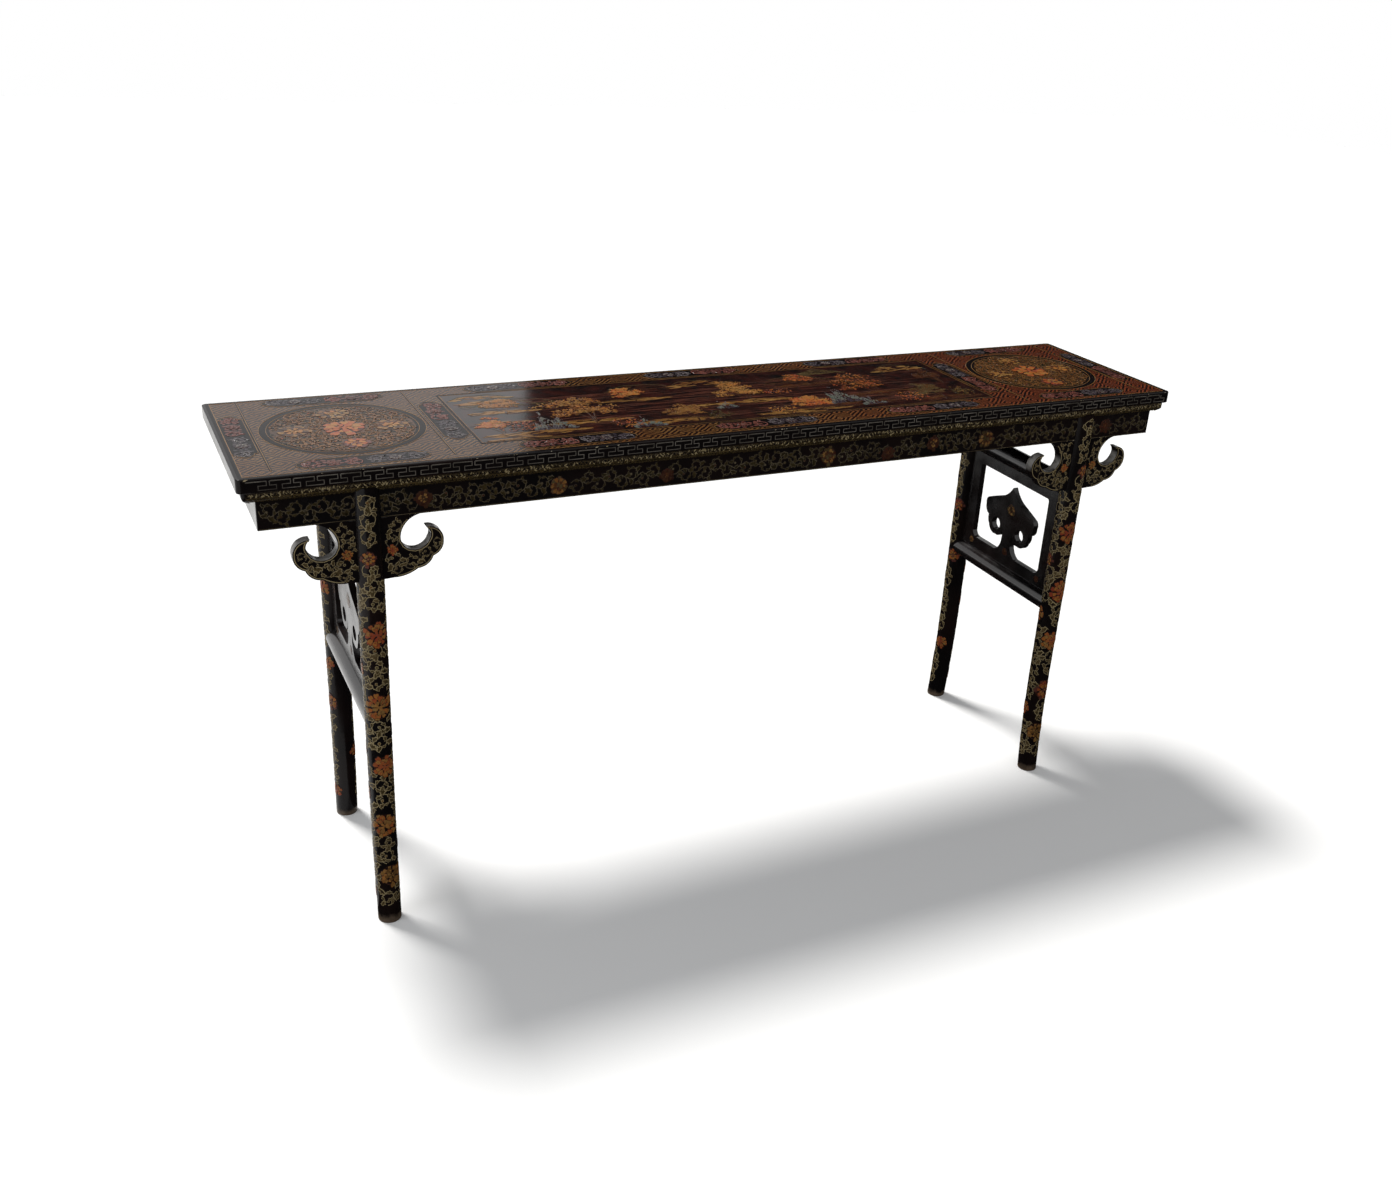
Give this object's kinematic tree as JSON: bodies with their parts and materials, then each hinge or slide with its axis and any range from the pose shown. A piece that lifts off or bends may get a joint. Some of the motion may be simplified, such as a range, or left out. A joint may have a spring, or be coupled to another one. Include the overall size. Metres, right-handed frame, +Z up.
{
  "type": "altar table",
  "caption": "Long recessed-leg altar table of painted black lacquer: framed top, aprons with cloud-head spandrels, kicked round legs, and open end panels with a cloud ornament.",
  "frame": {"origin": "on the floor, under the middle of the top", "axes": "+X along the length of the top, -Y towards the decorated front, +Z up"},
  "size_m": [1.8, 0.402, 0.853],
  "materials": {
    "painted_top_lacquer": "polychrome painted lacquer, polished",
    "gilt_moulding_lacquer": "black lacquer with dense gilt scrollwork",
    "scrollwork_lacquer": "black lacquer with painted scrolling vines",
    "plain_lacquer": "plain black-brown lacquer, glossy",
    "underside_lacquer": "thin matt brown-black lacquer over wood"
  },
  "bodies": {
    "root": {"back_apron": "scrollwork_lacquer", "back_stile_left": "plain_lacquer", "back_stile_right": "plain_lacquer", "batten_1": "underside_lacquer", "batten_2": "underside_lacquer", "batten_3": "underside_lacquer", "batten_4": "underside_lacquer", "cloud_ornament_left": "plain_lacquer", "cloud_ornament_right": "plain_lacquer", "front_apron": "scrollwork_lacquer", "front_stile_left": "plain_lacquer", "front_stile_right": "plain_lacquer", "left_end_apron": "scrollwork_lacquer", "leg_back_left": "scrollwork_lacquer", "leg_back_right": "scrollwork_lacquer", "leg_front_left": "scrollwork_lacquer", "leg_front_right": "scrollwork_lacquer", "lower_board_left": "plain_lacquer", "lower_board_right": "plain_lacquer", "lower_rail_left": "plain_lacquer", "lower_rail_right": "plain_lacquer", "moulding_back": "gilt_moulding_lacquer", "moulding_front": "gilt_moulding_lacquer", "moulding_left": "gilt_moulding_lacquer", "moulding_right": "gilt_moulding_lacquer", "right_end_apron": "scrollwork_lacquer", "spandrel_back_left_inner": "scrollwork_lacquer", "spandrel_back_left_outer": "scrollwork_lacquer", "spandrel_back_right_inner": "scrollwork_lacquer", "spandrel_back_right_outer": "scrollwork_lacquer", "spandrel_front_left_inner": "scrollwork_lacquer", "spandrel_front_left_outer": "scrollwork_lacquer", "spandrel_front_right_inner": "scrollwork_lacquer", "spandrel_front_right_outer": "scrollwork_lacquer", "top_frame_back": "painted_top_lacquer", "top_frame_front": "painted_top_lacquer", "top_frame_left": "painted_top_lacquer", "top_frame_right": "painted_top_lacquer", "top_panel": "painted_top_lacquer", "upper_board_left": "plain_lacquer", "upper_board_right": "plain_lacquer", "upper_rail_left": "plain_lacquer", "upper_rail_right": "plain_lacquer"}
  },
  "joints": []
}
